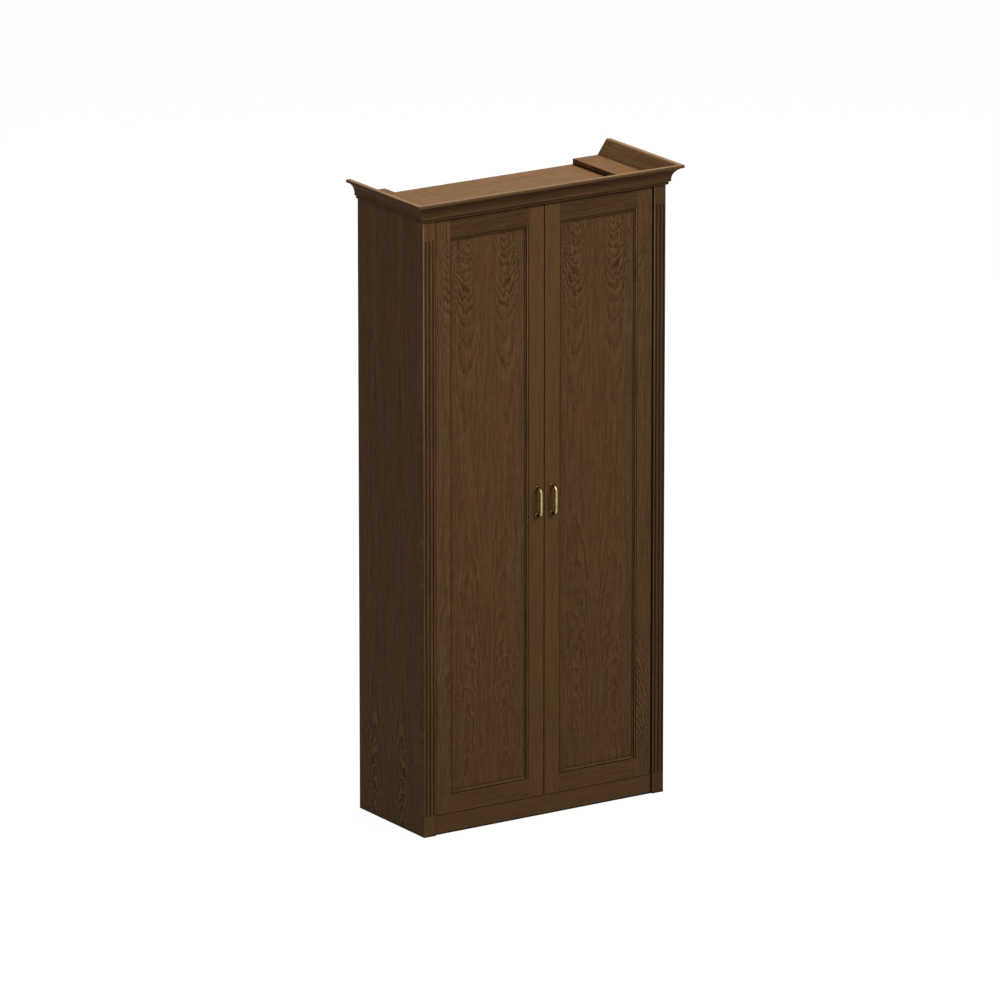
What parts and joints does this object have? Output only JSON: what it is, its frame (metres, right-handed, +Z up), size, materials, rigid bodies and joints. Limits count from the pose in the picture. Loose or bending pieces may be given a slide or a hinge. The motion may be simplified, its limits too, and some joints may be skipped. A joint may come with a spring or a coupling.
{
  "type": "office cabinet",
  "caption": "Tall office cabinet in dark veneer: framed panel doors on concealed hinges, fluted pilasters, plinth, cove cornice, brass bow handles, fixed and loose shelves.",
  "frame": {"origin": "on the floor, under the middle of the cabinet's plan", "axes": "+Z up, +Y towards the back, -Y out of the doors, +X to the right seen from the front"},
  "size_m": [1.008, 0.43, 2.1],
  "materials": {
    "stained_veneer": "dark brown stained oak veneer on board, satin lacquer",
    "inner_board": "dark brown laminated board, satin",
    "back_board": "dark brown faced hardboard, low sheen",
    "handle_brass": "satin brass, lacquered",
    "hinge_steel": "pressed steel, nickel plated",
    "bright_steel": "bright zinc plated steel",
    "cast_zinc": "die-cast zinc, plain",
    "foot_plastic": "black moulded plastic",
    "bumper_rubber": "clear-grey soft plastic dots"
  },
  "bodies": {
    "carcass": {"back_panel": "back_board", "bottom_panel": "inner_board", "cam_fittings": "cast_zinc", "connecting_bolts": "bright_steel", "cornice_front": "stained_veneer", "cornice_left": "stained_veneer", "cornice_right": "stained_veneer", "door_bumpers": "bumper_rubber", "fixed_shelf": "inner_board", "ledger_front": "stained_veneer", "ledger_left": "stained_veneer", "ledger_right": "stained_veneer", "left_hinge_arms": "hinge_steel", "left_hinge_blocks": "inner_board", "left_hinge_plates": "hinge_steel", "left_pilaster": "stained_veneer", "left_plate_screws": "bright_steel", "left_side_panel": "stained_veneer", "leveller_sockets": "foot_plastic", "levelling_feet": "foot_plastic", "plinth_board": "stained_veneer", "plinth_cross_rail": "inner_board", "plinth_rear_rail": "inner_board", "right_hinge_arms": "hinge_steel", "right_hinge_blocks": "inner_board", "right_hinge_plates": "hinge_steel", "right_pilaster": "stained_veneer", "right_plate_screws": "bright_steel", "right_side_panel": "stained_veneer", "shelf_1": "inner_board", "shelf_3": "inner_board", "shelf_4": "inner_board", "shelf_supports": "bright_steel", "top_panel": "inner_board"},
    "left_door": {"left_cup_screws": "bright_steel", "left_door_bottom_rail": "stained_veneer", "left_door_hinge_stile": "stained_veneer", "left_door_meeting_stile": "stained_veneer", "left_door_moulding": "stained_veneer", "left_door_panel": "stained_veneer", "left_door_top_rail": "stained_veneer", "left_handle": "handle_brass", "left_handle_screws": "bright_steel", "left_hinge_cups": "hinge_steel", "left_hinge_pins": "bright_steel"},
    "right_door": {"right_cup_screws": "bright_steel", "right_door_bottom_rail": "stained_veneer", "right_door_hinge_stile": "stained_veneer", "right_door_meeting_stile": "stained_veneer", "right_door_moulding": "stained_veneer", "right_door_panel": "stained_veneer", "right_door_top_rail": "stained_veneer", "right_handle": "handle_brass", "right_handle_screws": "bright_steel", "right_hinge_cups": "hinge_steel", "right_hinge_pins": "bright_steel"}
  },
  "joints": [
    {"name": "left_door_hinge", "type": "hinge", "parent": "carcass", "child": "left_door", "pos_m": [-0.394, -0.1558, 0], "axis": [0, 0, -1], "range_deg": [0, 100]},
    {"name": "right_door_hinge", "type": "hinge", "parent": "carcass", "child": "right_door", "pos_m": [0.394, -0.1558, 0], "axis": [0, 0, 1], "range_deg": [0, 100]}
  ]
}
